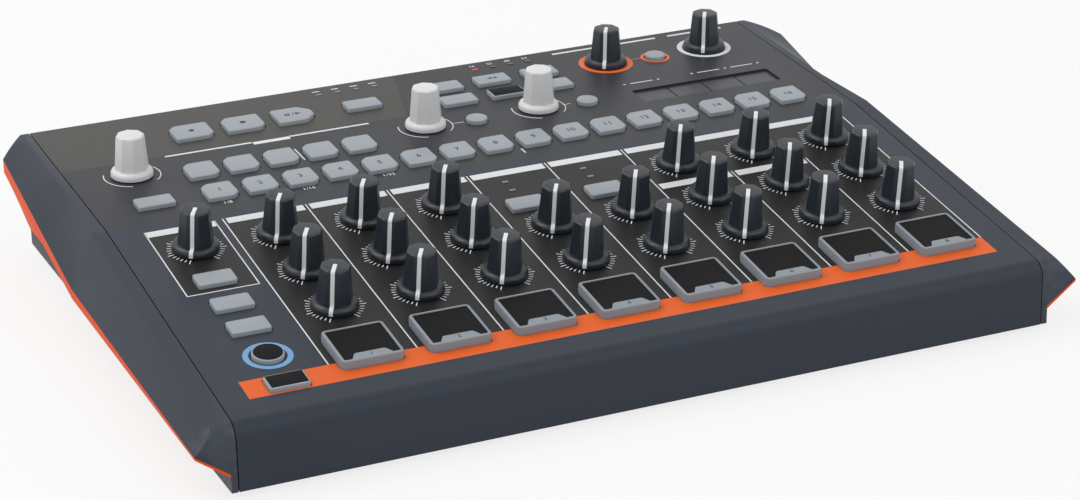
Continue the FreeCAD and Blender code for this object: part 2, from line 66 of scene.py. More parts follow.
def plane_frame(joint, known_s):
    """A panel plane: its tilt, its point where s is zero in millimetres, up its slope, its normal."""
    axis = Vector(joint["axis"])
    tilt = math.atan2(-axis.y, axis.z)
    up_slope = Vector((0, math.cos(tilt), math.sin(tilt)))
    start = Vector(joint["pos_m"]) / MM - up_slope * known_s
    return tilt, Vector((0, start.y, start.z)), up_slope, axis


FRONT_PLANE = plane_frame(JOINTS["knob_1_level_turn"], LEVEL_KNOB_S)
REAR_PLANE = plane_frame(JOINTS["knob_master_turn"], MASTER_KNOB_S)


def place(plane, x, s, n=0.0):
    """The matrix that lays a piece modelled flat, in millimetres, on a panel plane, in metres."""
    tilt, start, up_slope, normal = plane
    point = (start + Vector((x, 0, 0)) + up_slope * s + normal * n) * MM
    return Matrix.Translation(point) @ Matrix.Rotation(tilt, 4, "X") @ Matrix.Scale(MM, 4)


print("front plane tilt:", round(math.degrees(FRONT_PLANE[0]), 2))

# %% [markdown]
# Two effects are wanted in nearly every finish: a fine grain that breaks up the highlight, and slow
# blotches that make one area a touch lighter than the next. Each could be built again in every
# material, but a node group keeps one version of it, and each material sets its own grain and amount.

# %% Shared surface effects
GRAIN_SCALE = 900.0
BLOTCH_SCALE = 14.0
WEAR_BREAK_SCALE = 260.0
SHARP_EDGE = (0.53, 0.64)


def new_group(name, inputs, outputs):
    """An empty shader node group with named value inputs and outputs."""
    group = bpy.data.node_groups.new(name, "ShaderNodeTree")
    for direction, labels in (("INPUT", inputs), ("OUTPUT", outputs)):
        for label in labels:
            group.interface.new_socket(name=label, in_out=direction, socket_type="NodeSocketFloat")
    return group, group.nodes.new("NodeGroupInput"), group.nodes.new("NodeGroupOutput")


def feed(tree, socket, value):
    """Give a socket a fixed value, or link it to another socket."""
    if isinstance(value, bpy.types.NodeSocket):
        tree.links.new(value, socket)
    else:
        socket.default_value = value


def calculate(tree, operation, *values):
    """The result of a math node on fixed values and sockets."""
    node = tree.nodes.new("ShaderNodeMath")
    node.operation = operation
    for socket, value in zip(node.inputs, values):
        feed(tree, socket, value)
    return node.outputs["Value"]


def surface_group():
    """Fine grain and slow blotches, both read from Object coordinates."""
    group, inlet, outlet = new_group("surface_life", ["Grain Scale", "Blotch Scale"], ["Grain", "Blotch"])
    nodes, links = group.nodes, group.links
    coordinates = nodes.new("ShaderNodeTexCoord")
    for label, detail in (("Grain", 3.0), ("Blotch", 5.0)):
        noise = nodes.new("ShaderNodeTexNoise")
        noise.inputs["Detail"].default_value = detail
        links.new(coordinates.outputs["Object"], noise.inputs["Vector"])
        links.new(inlet.outputs[label + " Scale"], noise.inputs["Scale"])
        links.new(noise.outputs["Fac"], outlet.inputs[label])
    return group


def wear_group():
    """A mask that is bright on sharp outer edges and broken up by noise."""
    group, inlet, outlet = new_group("edge_wear", ["Break Scale"], ["Wear"])
    nodes, links = group.nodes, group.links
    geometry = nodes.new("ShaderNodeNewGeometry")
    ramp = nodes.new("ShaderNodeMapRange")
    ramp.inputs["From Min"].default_value, ramp.inputs["From Max"].default_value = SHARP_EDGE
    links.new(geometry.outputs["Pointiness"], ramp.inputs["Value"])
    coordinates = nodes.new("ShaderNodeTexCoord")
    noise = nodes.new("ShaderNodeTexNoise")
    links.new(coordinates.outputs["Object"], noise.inputs["Vector"])
    links.new(inlet.outputs["Break Scale"], noise.inputs["Scale"])
    wear = calculate(group, "MULTIPLY", ramp.outputs["Result"], noise.outputs["Fac"])
    links.new(wear, outlet.inputs["Wear"])
    return group


SURFACE = surface_group()
WEAR = wear_group()
print("effect groups:", SURFACE.name, WEAR.name)

# %% [markdown]
# A moulded or painted finish is a base colour that shifts a little, a roughness that shifts a little,
# and a bump too small to see as shape. One function can make all of them, because only the numbers
# differ between powder coat, moulded plastic, printed ink and rubber.

# %% The finish maker
SMOOTHER, ROUGHER = 0.06, 0.08
BUMP_DEPTH = 0.0004
COAT_ROUGHNESS = 0.15


def srgb(red, green, blue):
    """A screen colour of 0 to 255 as the linear colour that a shader takes."""
    return tuple((c / 255 / 12.92) if c <= 10 else ((c / 255 + 0.055) / 1.055) ** 2.4
                 for c in (red, green, blue)) + (1.0,)


def blend_colours(tree, factor, first, second):
    """The mix of two colours; each may be a fixed colour or a socket."""
    mix = tree.nodes.new("ShaderNodeMix")
    mix.data_type = "RGBA"
    for socket, value in ((mix.inputs["Factor"], factor), (mix.inputs[6], first), (mix.inputs[7], second)):
        feed(tree, socket, value)
    return mix.outputs[2]


def spread(tree, mask, low, high):
    """A mask stretched between two values."""
    stretch = tree.nodes.new("ShaderNodeMapRange")
    for label, value in (("Value", mask), ("To Min", low), ("To Max", high)):
        feed(tree, stretch.inputs[label], value)
    return stretch.outputs["Result"]


def finish(name, colour, roughness, grain=GRAIN_SCALE, bump=0.04, shift=0.08, metallic=0.0, coat=0.0,
           worn=None, paint=None, shine=0.5):
    """A material with grain, blotches and, where asked, worn edges or painted areas."""
    material = bpy.data.materials.new(name)
    material.use_nodes = True
    tree = material.node_tree
    nodes, links = tree.nodes, tree.links
    shader = nodes["Principled BSDF"]
    life = nodes.new("ShaderNodeGroup")
    life.node_tree = SURFACE
    life.inputs["Grain Scale"].default_value = grain
    life.inputs["Blotch Scale"].default_value = BLOTCH_SCALE
    varied = nodes.new("ShaderNodeHueSaturation")
    feed(tree, varied.inputs["Color"], colour if paint is None else paint(tree, colour))
    links.new(spread(tree, life.outputs["Blotch"], 1.0 - shift, 1.0 + shift), varied.inputs["Value"])
    out = varied.outputs["Color"]
    if worn is not None:
        edge = nodes.new("ShaderNodeGroup")
        edge.node_tree = WEAR
        edge.inputs["Break Scale"].default_value = WEAR_BREAK_SCALE
        out = blend_colours(tree, edge.outputs["Wear"], out, worn)
    links.new(out, shader.inputs["Base Color"])
    gloss = spread(tree, life.outputs["Blotch"], roughness - SMOOTHER, roughness + ROUGHER)
    links.new(gloss, shader.inputs["Roughness"])
    relief = nodes.new("ShaderNodeBump")
    relief.inputs["Strength"].default_value = bump
    relief.inputs["Distance"].default_value = BUMP_DEPTH
    links.new(life.outputs["Grain"], relief.inputs["Height"])
    links.new(relief.outputs["Normal"], shader.inputs["Normal"])
    shader.inputs["Metallic"].default_value = metallic
    shader.inputs["Specular IOR Level"].default_value = shine
    shader.inputs["Coat Weight"].default_value = coat
    shader.inputs["Coat Roughness"].default_value = COAT_ROUGHNESS
    return material


# %% [markdown]
# The cover is one painted sheet, but its paint has zones: a grey rear panel, a dark field behind the
# sound columns and the metronome, a warm grey field behind the transport keys and an orange band under
# the pads. They could be thin plates, but plates would hide the slits round the keys, so the colour
# comes from simple box masks on Object coordinates. A box is left, right, low s and high s.

# %% The cover's printed zones
PITCH = 33.27
FIRST_LINE = -116.1
COLUMN_FOOT = 26.6
COLUMN_HEAD = 138.4
BAND_RIGHT = 148.8
BAND_LEFT = -149.2
BAND_FRONT = 14.9
METRO_BOX = (-146.9, -119.4, 87.8, 137.9)
REAR_BOX = (-160.0, 160.0, 0.0, 105.0)
TRANSPORT_BOX = (-160.0, -14.6, 60.0, 103.6)
TRANSPORT_SLANT = 0.27


def plan_y(plane, s):
    """The plan position in metres of a height s up a panel plane."""
    return (plane[1] + plane[2] * s).y * MM


def box_mask(tree, spot, plane, left, right, low, high, slant):
    """One inside a box on the panel, nought outside; slant leans the right side."""
    x, y = spot.outputs["X"], spot.outputs["Y"]
    front, back = plan_y(plane, low), plan_y(plane, high)
    leaned = x
    if slant:
        leaned = calculate(tree, "ADD", x, calculate(tree, "MULTIPLY_ADD", y, -slant, slant * front))
    mask = calculate(tree, "GREATER_THAN", x, left * MM)
    for socket, operation, limit in ((leaned, "LESS_THAN", right * MM), (y, "GREATER_THAN", front),
                                     (y, "LESS_THAN", back)):
        mask = calculate(tree, "MULTIPLY", mask, calculate(tree, operation, socket, limit))
    return mask


DARK_FIELD = srgb(32, 31, 31)
WARM_FIELD = srgb(66, 65, 63)
REAR_FIELD = srgb(50, 51, 55)
SLATE = srgb(47, 53, 64)
ORANGE = srgb(232, 100, 34)


def cover_paint(tree, colour):
    """The cover's colour with its printed fields laid over it."""
    coordinates = tree.nodes.new("ShaderNodeTexCoord")
    spot = tree.nodes.new("ShaderNodeSeparateXYZ")
    tree.links.new(coordinates.outputs["Object"], spot.inputs["Vector"])
    fields = [
        (REAR_PLANE, REAR_BOX, 0.0, REAR_FIELD),
        (FRONT_PLANE, (FIRST_LINE, BAND_RIGHT, COLUMN_FOOT, COLUMN_HEAD), 0.0, DARK_FIELD),
        (FRONT_PLANE, METRO_BOX, 0.0, DARK_FIELD),
        (REAR_PLANE, TRANSPORT_BOX, TRANSPORT_SLANT, WARM_FIELD),
        (FRONT_PLANE, (BAND_LEFT, BAND_RIGHT, BAND_FRONT, COLUMN_FOOT), 0.0, ORANGE),
    ]
    result = colour
    for plane, box, slant, field in fields:
        result = blend_colours(tree, box_mask(tree, spot, plane, *box, slant), result, field)
    return result


# %% [markdown]
# The finishes themselves. The case is a satin slate powder coat, its ends a matching moulded plastic,
# the trims a satin orange. Knobs are a blue near black, keys and pads a cool grey. The printed inks
# are plain but still carry a little grain, because real ink does.

# %% Finishes
COVER = finish("cover_paint", SLATE, 0.42, grain=1400.0, bump=0.05, shift=0.05, paint=cover_paint,
               shine=0.25)
CAP = finish("cap_plastic", SLATE, 0.46, grain=1100.0, bump=0.07, shift=0.06, shine=0.25,
             worn=srgb(92, 98, 108))
TRIM = finish("trim_orange", srgb(232, 82, 18), 0.5, grain=700.0, bump=0.02, shift=0.05, shine=0.15)
TRAY = finish("tray_paint", srgb(38, 39, 42), 0.5, grain=1200.0, bump=0.06)
KNOB = finish("knob_plastic", srgb(24, 32, 41), 0.36, grain=1500.0, bump=0.05, shift=0.1,
              worn=srgb(58, 68, 80))
ENCODER = finish("encoder_plastic", srgb(226, 226, 227), 0.36, bump=0.02, shift=0.02)
KEY = finish("key_plastic", srgb(156, 163, 169), 0.48, grain=1500.0, bump=0.05, shift=0.05,
             worn=srgb(176, 185, 192))
PAD = finish("pad_plastic", srgb(140, 148, 156), 0.5, grain=1300.0, bump=0.05, shift=0.05)
PAD_TOP = finish("pad_rubber", srgb(16, 16, 18), 0.6, grain=700.0, bump=0.1, shift=0.1, shine=0.12)
WHITE_INK = finish("white_ink", srgb(228, 230, 232), 0.5, grain=1200.0, bump=0.03, shift=0.03)
POINTER_INK = finish("pointer_ink", srgb(232, 234, 237), 0.4, grain=1200.0, bump=0.02, shift=0.03)
INK_LOOK = {"roughness": 0.5, "grain": 1200.0, "bump": 0.03, "shift": 0.04}
BLUE_INK = finish("blue_ink", srgb(112, 166, 212), **INK_LOOK)
ORANGE_INK = finish("orange_ink", srgb(240, 108, 38), **INK_LOOK)
DARK_INK = finish("dark_ink", srgb(38, 44, 52), **INK_LOOK)
RUBBER = finish("foot_rubber", srgb(24, 24, 25), 0.8, grain=500.0, bump=0.2, shift=0.2)
BOARD = finish("board_mask", srgb(20, 72, 44), 0.35, grain=600.0, bump=0.05)
PLATED = finish("plated_steel", srgb(190, 190, 186), 0.28, grain=1600.0, bump=0.03, metallic=1.0)
SCREW = finish("screw_steel", srgb(70, 70, 72), 0.38, grain=1600.0, bump=0.04, metallic=1.0)
STRIP = finish("strip_plastic", srgb(46, 48, 52), 0.36, grain=800.0, bump=0.02)
SOCKET = finish("socket_plastic", srgb(24, 24, 26), 0.45, bump=0.05)
LAMP = finish("lamp_lens", srgb(78, 42, 40), 0.22, bump=0.01, coat=0.3)
DIM = finish("lamp_dim", srgb(120, 120, 126), 0.3, bump=0.01, coat=0.2)
LIT = finish("lamp_lit", srgb(190, 52, 40), 0.3, bump=0.01)
lit_shader = LIT.node_tree.nodes["Principled BSDF"]
lit_shader.inputs["Emission Color"].default_value = srgb(255, 40, 28)
lit_shader.inputs["Emission Strength"].default_value = 0.35

SOLID_FINISH = {
    "cover_paint": COVER, "cap_plastic": CAP, "tray_paint": TRAY, "trim_orange": TRIM,
    "board": BOARD, "pot_metal": PLATED, "screw_steel": SCREW, "foot_rubber": RUBBER,
    "strip_plastic": STRIP, "lens": LAMP, "socket_plastic": SOCKET, "socket_metal": PLATED,
    "switch_plastic": SOCKET, "key_plastic": KEY, "knob_plastic": KNOB,
    "encoder_plastic": ENCODER, "pad_plastic": PAD,
}
SLOT_OF = {part["node"]: part["material_slot"] for part in frame["record"]["subparts"]}
for name, solid in frame["nodes"].items():
    solid.data.materials.clear()
    solid.data.materials.append(SOLID_FINISH[SLOT_OF[name]])
print("finishes:", len(bpy.data.materials))

# %% [markdown]
# Every new piece is modelled flat, in millimetres, round its own centre, and is moved to the panel as
# a last step. Its place then sits in its mesh, as the frame's solids have it. Edges are picked in
# code by where they are, since there is no mouse.

# %% Modelling helpers
UPRIGHT_RISE = 1.0
NEAR = 0.02


def start_shape(adder, **settings):
    """Deselect all, add a primitive and return it."""
    bpy.ops.object.select_all(action="DESELECT")
    adder(**settings)
    return bpy.context.active_object


def solid_start(adder, **settings):
    """Add a primitive, with its place and size taken into its mesh."""
    shape = start_shape(adder, **settings)
    bpy.ops.object.transform_apply(location=True, rotation=True, scale=True)
    return shape


def block(width, depth, low, high):
    """A plain block between two heights."""
    return solid_start(bpy.ops.mesh.primitive_cube_add, size=1.0, location=(0, 0, (low + high) / 2),
                       scale=(width, depth, high - low))


def column(radius, low, high, sides):
    """A plain cylinder between two heights."""
    return solid_start(bpy.ops.mesh.primitive_cylinder_add, vertices=sides, radius=radius,
                       depth=high - low, location=(0, 0, (low + high) / 2))


def pick_only(shape):
    """Make a shape the one selected and active object."""
    bpy.ops.object.select_all(action="DESELECT")
    shape.select_set(True)
    bpy.context.view_layer.objects.active = shape


def flat_start(x, y, z, width, depth, turn=0.0):
    """A rectangle lying flat: a plane primitive drawn out to its size."""
    shape = start_shape(bpy.ops.mesh.primitive_plane_add, size=1.0)
    bpy.ops.object.mode_set(mode="EDIT")
    bpy.ops.mesh.select_all(action="SELECT")
    bpy.ops.transform.resize(value=(width, depth, 1.0), center_override=(0, 0, 0))
    bpy.ops.object.mode_set(mode="OBJECT")
    shape.data.transform(Matrix.Translation((x, y, z)) @ Matrix.Rotation(turn, 4, "Z"))
    return shape


def edit_edges(shape, wanted):
    """Go into edit mode with only the wanted edges of a shape selected."""
    bpy.context.tool_settings.mesh_select_mode = (False, True, False)
    mesh = shape.data
    for items in (mesh.vertices, mesh.edges, mesh.polygons):
        for item in items:
            item.select = False
    for edge in mesh.edges:
        first, second = (mesh.vertices[i].co for i in edge.vertices)
        edge.select = wanted(first, second)
    bpy.ops.object.mode_set(mode="EDIT")


def bevel_edges(shape, wanted, width, segments):
    """Bevel the wanted edges of a shape."""
    edit_edges(shape, wanted)
    bpy.ops.mesh.bevel(offset=width, segments=segments, affect="EDGES", clamp_overlap=True)
    bpy.ops.object.mode_set(mode="OBJECT")


def upright(a, b):
    """True for an edge that leaves the flat."""
    return abs(a.z - b.z) > UPRIGHT_RISE


def at_height(height):
    """A test for edges that lie at one height."""
    return lambda a, b: abs(a.z - height) < NEAR and abs(b.z - height) < NEAR


def soft_block(width, depth, low, high, corner, rim, segments=3):
    """A block with rounded corners and a softened top rim."""
    shape = block(width, depth, low, high)
    bevel_edges(shape, upright, corner, segments)
    if rim:
        bevel_edges(shape, at_height(high), rim, 2)
    return shape


def copy_at(shape, matrix):
    """A copy of a shape with its own mesh, moved by a matrix."""
    twin = shape.copy()
    twin.data = shape.data.copy()
    twin.data.transform(matrix)
    bpy.context.scene.collection.objects.link(twin)
    return twin


def joined(shapes, name):
    """Several shapes as one object with its place in its mesh."""
    pick_only(shapes[0])
    for shape in shapes:
        shape.select_set(True)
    if len(shapes) > 1:
        bpy.ops.object.join()
    piece = bpy.context.active_object
    bpy.ops.object.transform_apply(location=True, rotation=True, scale=True)
    piece.name = name
    piece.data.name = name
    return piece


def drop(*shapes):
    """Remove shapes that only served as patterns."""
    for shape in shapes:
        bpy.data.objects.remove(shape, do_unlink=True)


def dress(piece, material, body, replaced=(), smooth=32):
    """Give a finished piece its finish and the body that it moves with."""
    if material is not None:
        piece.data.materials.clear()
        piece.data.materials.append(material)
    pick_only(piece)
    bpy.ops.object.shade_smooth_by_angle(angle=math.radians(smooth))
    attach(piece, body)
    if replaced:
        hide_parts(*replaced)


# %% [markdown]
# The dark knob has a round flared skirt and an eight-sided grip that tapers and rounds over at the top.
# A cone with eight sides gives the grip; a small bevel on its upright edges keeps the facets crisp
# without looking cut from paper. The skirt is a cylinder whose rim is bevelled into a flare. The
# endless encoders have the same form in off-white, without a pointer.

# %% Knob patterns
SKIRT_LOW = 0.5
SKIRT_TOP = 3.3
GRIP_LOW = 2.7
FLARE = 2.0
SIDES = 8
HALF_SIDE = math.pi / SIDES
FACET = math.cos(HALF_SIDE)
FACET_SOFT = 0.22
CAP_SOFT = 0.9
SHAFT_RADIUS = 3.0
SHAFT_END = -9.0
DARK_KNOB = {"skirt": 8.9, "foot": 6.95, "top": 5.6, "high": 17.0}
REAR_KNOB = {"skirt": 8.9, "foot": 6.95, "top": 5.6, "high": 16.0}
LIGHT_KNOB = {"skirt": 8.3, "foot": 6.75, "top": 5.6, "high": 17.3}


def knob_shape(sizes):
    """A flared skirt, an eight-sided grip and the shaft below, all as one pattern."""
    base = column(sizes["skirt"], SKIRT_LOW, SKIRT_TOP, 48)
    bevel_edges(base, at_height(SKIRT_TOP), FLARE, 6)
    high = sizes["high"]
    grip = solid_start(bpy.ops.mesh.primitive_cone_add, vertices=SIDES, radius1=sizes["foot"],
                       radius2=sizes["top"], depth=high - GRIP_LOW,
                       location=(0, 0, (high + GRIP_LOW) / 2), rotation=(0, 0, HALF_SIDE))
    bevel_edges(grip, upright, FACET_SOFT, 1)
    bevel_edges(grip, at_height(high), CAP_SOFT, 5)
    shaft = column(SHAFT_RADIUS, SHAFT_END, 1.0, 24)
    bevel_edges(shaft, at_height(SHAFT_END), 0.4, 1)
    return joined([base, grip, shaft], "knob_pattern")


# %% [markdown]
# The white pointer runs from the middle of the cap, over its edge, down the grip and out across the
# skirt. It follows the knob closely, so it is drawn as a narrow strip: one short plane whose front
# edge is extruded again and again along the knob's outline, then thickened a hair.

# %% Pointer pattern
POINTER_WIDTH = 1.5
POINTER_LIFT = 0.08
POINTER_SKIN = 0.12
POINTER_START = 1.0
POINTER_FOOT = 0.9


def pointer_shape(sizes):
    """A thin strip that follows the knob outline towards -Y, drawn as pairs of radius and height."""
    high = sizes["high"]
    top = sizes["top"] * FACET
    slope = (sizes["top"] - sizes["foot"]) / (high - GRIP_LOW)
    foot = (sizes["foot"] + slope * 0.75) * FACET + POINTER_LIFT
    skirt = sizes["skirt"] + POINTER_LIFT
    over_cap = [(POINTER_START, high + POINTER_LIFT), (top - 0.85, high + POINTER_LIFT), (top - 0.5, high),
                (top - 0.12, high - 0.18), (top + 0.06, high - 0.5), (top + 0.17, high - 0.95)]
    over_skirt = [(foot, SKIRT_LOW + 2.95), (skirt - FLARE, SKIRT_TOP + POINTER_LIFT),
                  (skirt - 1.1, SKIRT_TOP - 0.1), (skirt - 0.5, SKIRT_TOP - 0.45),
                  (skirt - 0.08, SKIRT_TOP - 1.2), (skirt, SKIRT_TOP - 1.9), (skirt, POINTER_FOOT)]
    path = over_cap + over_skirt
    strip = flat_start(0, -0.25, high + POINTER_LIFT, POINTER_WIDTH, 1.5)
    edit_edges(strip, lambda a, b: max(a.y, b.y) < 0.1 - POINTER_START)
    for (r0, z0), (r1, z1) in zip(path, path[1:]):
        bpy.ops.mesh.extrude_region_move(TRANSFORM_OT_translate={"value": (0, r0 - r1, z1 - z0)})
    bpy.ops.object.mode_set(mode="OBJECT")
    skin = strip.modifiers.new("thickness", "SOLIDIFY")
    skin.thickness = POINTER_SKIN
    skin.offset = 0.0
    bpy.ops.object.modifier_apply(modifier=skin.name)
    return strip


REST_TURN = math.radians(-30)
REAR_NAMES = ("knob_distortion", "knob_master")
KNOB_NAMES = [name.removesuffix("_turn") for name in JOINTS if name.startswith("knob_")]
FRONT_NAMES = [name for name in KNOB_NAMES if name not in REAR_NAMES]
ENCODER_NAMES = [name.removesuffix("_turn") for name in JOINTS if name.startswith("encoder_")]


def at_joint(joint, turn=0.0):
    """The matrix that stands a pattern in millimetres on a joint, along its axis, in metres."""
    axis = Vector(joint["axis"])
    lean = Matrix.Rotation(math.atan2(-axis.y, axis.z), 4, "X")
    return Matrix.Translation(joint["pos_m"]) @ lean @ Matrix.Rotation(turn, 4, "Z") @ Matrix.Scale(MM, 4)


def place_knobs(names, sizes, material, with_pointer):
    """Put a knob, and its pointer where it has one, on each named joint."""
    pattern = knob_shape(sizes)
    line_pattern = pointer_shape(sizes)
    for node in names:
        turned = at_joint(JOINTS[node + "_turn"], REST_TURN)
        knob = joined([copy_at(pattern, turned)], node + "_shape")
        dress(knob, material, node + "_body", (node,), smooth=15)
        if with_pointer:
            line = joined([copy_at(line_pattern, turned)], node + "_pointer")
            dress(line, POINTER_INK, node + "_body")
    drop(pattern, line_pattern)


place_knobs(FRONT_NAMES, DARK_KNOB, KNOB, True)
place_knobs(REAR_NAMES, REAR_KNOB, KNOB, True)
place_knobs(ENCODER_NAMES, LIGHT_KNOB, ENCODER, False)
print("knobs placed:", len(FRONT_NAMES), len(REAR_NAMES), len(ENCODER_NAMES))

# %% [markdown]
# Each pad is a grey frame round a sunk black face, with a small grey tab at the front that carries
# the channel number. The frame is a softened block; its top is inset and pushed down for the face,
# and the sunk part takes the rubber finish as a second material of the same piece. Every pad keeps
# the centre of the solid pad that it replaces.

# %% Pads
PAD_SIZE = (23.5, 22.6)
PAD_HIGH = 3.3
PAD_ROOT = -5.4
PAD_CORNER = 1.8
PAD_RIM = 0.5
PAD_FRAME = 1.15
PAD_SINK = 0.35
TAB_BASE, TAB_TIP, TAB_REACH = 15.6, 11.4, 3.6
TAB_BEHIND = 0.2
TAB_HIGH = PAD_HIGH - 0.02
TAB_FRONT = -PAD_SIZE[1] / 2 + PAD_FRAME - TAB_BEHIND
PAD_X = [-101.2 + i * PITCH for i in range(8)]
PAD_S = 32.3


def pad_shape():
    """A pad with its sunk face, and the number tab in front."""
    shape = soft_block(*PAD_SIZE, PAD_ROOT, PAD_HIGH, PAD_CORNER, PAD_RIM, 4)
    shape.data.materials.append(PAD)
    shape.data.materials.append(PAD_TOP)
    bpy.context.tool_settings.mesh_select_mode = (False, False, True)
    for face in shape.data.polygons:
        face.select = face.normal.z > 0.99 and face.center.z > PAD_HIGH - 0.1
    bpy.ops.object.mode_set(mode="EDIT")
    bpy.ops.mesh.inset(thickness=PAD_FRAME - PAD_RIM, depth=0.0)
    shape.active_material_index = 1
    bpy.ops.mesh.extrude_region_move(TRANSFORM_OT_translate={"value": (0, 0, -PAD_SINK)})
    bpy.ops.object.material_slot_assign()
    bpy.ops.object.mode_set(mode="OBJECT")
    tab = block(TAB_BASE, TAB_REACH, TAB_HIGH - 1.0, TAB_HIGH)
    tab.data.transform(Matrix.Translation((0, TAB_FRONT + TAB_REACH / 2, 0)))
    back = TAB_FRONT + TAB_REACH
    edit_edges(tab, lambda a, b: min(a.y, b.y) > back - 0.1)
    bpy.ops.transform.resize(value=(TAB_TIP / TAB_BASE, 1, 1), center_override=(0, 0, 0))
    bpy.ops.object.mode_set(mode="OBJECT")
    bevel_edges(tab, lambda a, b: abs(a.z - b.z) > 0.5 and min(a.y, b.y) > back - 0.1, 0.6, 3)
    tab.data.materials.append(PAD)
    return joined([shape, tab], "pad_pattern")


pad_pattern = pad_shape()
for number, x in enumerate(PAD_X, start=1):
    pad = joined([copy_at(pad_pattern, place(FRONT_PLANE, x, PAD_S))], "pad_%d_shape" % number)
    dress(pad, None, "pad_%d_body" % number, ("pad_%d" % number,))
drop(pad_pattern)
print("pads placed:", len(PAD_X))

# %% [markdown]
# The keys come in six outlines: plain bars, step keys and wide keys with two corners cut, one wide key
# with a point, and discs of two sizes. Cutting a corner is only a wide bevel of one segment on one
# upright edge, so the step key is a block with two such cuts and fine bevels after.

# %% Key patterns
KEY_HIGH = 1.6
KEY_ROOT = -6.0
STEP_SIZE = (12.6, 14.0)
BAR_SIZE = (14.9, 9.0)
WIDE_SIZE = (16.2, 14.0)
KEY_CORNER = 1.1
KEY_RIM = 0.55
CUT = 2.7
POINT = 4.6


def cut_block(size, low, high, cuts, cut, rim, grow):
    """A block whose chosen upright edges are cut off, then softened all round."""
    shape = block(size[0] + 2 * grow, size[1] + 2 * grow, low, high)
    if cut:
        bevel_edges(shape, lambda a, b: upright(a, b) and cuts(a), cut, 1)
    bevel_edges(shape, upright, KEY_CORNER, 3)
    if rim:
        bevel_edges(shape, at_height(high), rim, 3)
    return shape


def disc_shape(radius, low, high, rim):
    """A round key with a softened rim."""
    shape = column(radius, low, high, 40)
    if rim:
        bevel_edges(shape, at_height(high), rim, 3)
    return shape


def opposite_corners(corner):
    """The rear left and front right corners of a step key."""
    return corner.x * corner.y < 0


def right_end(corner):
    """The right-hand corners, cut to give the play key its point."""
    return corner.x > 0


KEY_BLOCKS = {"step": (STEP_SIZE, opposite_corners, CUT), "wide": (WIDE_SIZE, opposite_corners, CUT),
              "play": (WIDE_SIZE, right_end, POINT), "bar": (BAR_SIZE, None, 0.0)}
KEY_DISCS = {"disc": 4.4, "shift": 5.9}


def key_pattern(kind, low, high, rim, grow):
    """One key of a kind; grown a little, the same shape cuts its opening."""
    if kind in KEY_DISCS:
        return disc_shape(KEY_DISCS[kind] + grow, low, high, rim)
    size, cuts, cut = KEY_BLOCKS[kind]
    return cut_block(size, low, high, cuts, cut, rim, grow)


# %% [markdown]
# The keys of one kind travel together in this model, so each kind is one piece on one body. Every key
# keeps the centre of the solid key that it stands for, over its own switch on the board. The sixteen
# steps have an even pitch, and the mode keys stand behind the first five. One menu key, one channel
# key and the shift key have a black face.

# %% Place the keys
FACE_MARGIN = 1.3
FACE_LOW = KEY_HIGH - 0.4
STEP_PITCH = 16.47
STEP_X = [-109.4 + i * STEP_PITCH for i in range(16)]
STEP_S = 16.8
MODE_S = 38.7
TRANSPORT_S = 77.2
RECORD_X, STOP_X, PLAY_X = -100.5, -78.8, -57.0
MENU_X = (10.9, 32.4, 54.1)
MENU_S = (66.0, 81.3)
SIDE_X = -133.7
SHIFT_KEY = (SIDE_X, 39.5)
DISTORTION_KEY = (107.4, 79.0)
BLACK_MENU = (MENU_X[1], MENU_S[0])
BLACK_CHANNEL = (SIDE_X, 20.5)
KEYS = {
    "step_buttons": (REAR_PLANE, [("step", x, STEP_S) for x in STEP_X]),
    "mode_buttons": (REAR_PLANE, [("step", x, MODE_S) for x in STEP_X[:5]]),
    "transport_buttons": (REAR_PLANE, [("wide", RECORD_X, TRANSPORT_S), ("wide", STOP_X, TRANSPORT_S),
                                       ("play", PLAY_X, TRANSPORT_S)]),
    "menu_buttons": (REAR_PLANE, [("bar", x, s) for x in MENU_X for s in MENU_S]
                     + [("bar", -27.1, 77.4), ("bar", -135.4, STEP_S), ("disc", 9.6, 44.2),
                        ("disc", 59.1, 44.2), ("disc", *DISTORTION_KEY)]),
    "channel_buttons": (FRONT_PLANE, [("bar", SIDE_X, s) for s in (95.6, 76.9, 59.6, 20.5)]
                        + [("bar", -3.7, 109.3), ("bar", 29.6, 109.3), ("shift", *SHIFT_KEY)]),
}


def laid_out(rows, plane, low, high, rim, grow=0.0):
    """Copies of the key patterns at their spots on a plane."""
    copies = []
    for kind in sorted({row[0] for row in rows}):
        pattern = key_pattern(kind, low, high, rim, grow)
        copies += [copy_at(pattern, place(plane, x, s)) for name, x, s in rows if name == kind]
        drop(pattern)
    return copies


for group, (plane, rows) in KEYS.items():
    piece = joined(laid_out(rows, plane, KEY_ROOT, KEY_HIGH, KEY_RIM), group.replace("buttons", "keys"))
    dress(piece, KEY, group + "_body", (group,), smooth=25)

black_bar = soft_block(BAR_SIZE[0] - FACE_MARGIN, BAR_SIZE[1] - FACE_MARGIN, FACE_LOW, KEY_HIGH + 0.08,
                       0.9, 0.05)
black_disc = disc_shape(KEY_DISCS["shift"] - 0.6, FACE_LOW, KEY_HIGH + 0.3, 0.25)
menu_face = joined([copy_at(black_bar, place(REAR_PLANE, *BLACK_MENU))], "menu_key_black_face")
dress(menu_face, PAD_TOP, "menu_buttons_body")
channel_face = joined([copy_at(black_bar, place(FRONT_PLANE, *BLACK_CHANNEL)),
                       copy_at(black_disc, place(FRONT_PLANE, *SHIFT_KEY))], "channel_key_black_faces")
dress(channel_face, PAD_TOP, "channel_buttons_body")
drop(black_bar, black_disc)
print("keys placed")

# %% [markdown]
# The cover has to fit these key outlines, so it is drawn here as a sheet with its own openings. A
# long strip is extruded through the case outline, its front bend is bevelled round, and it is given
# its sheet thickness. One set of cutters, a hair larger than the keys, then opens it.

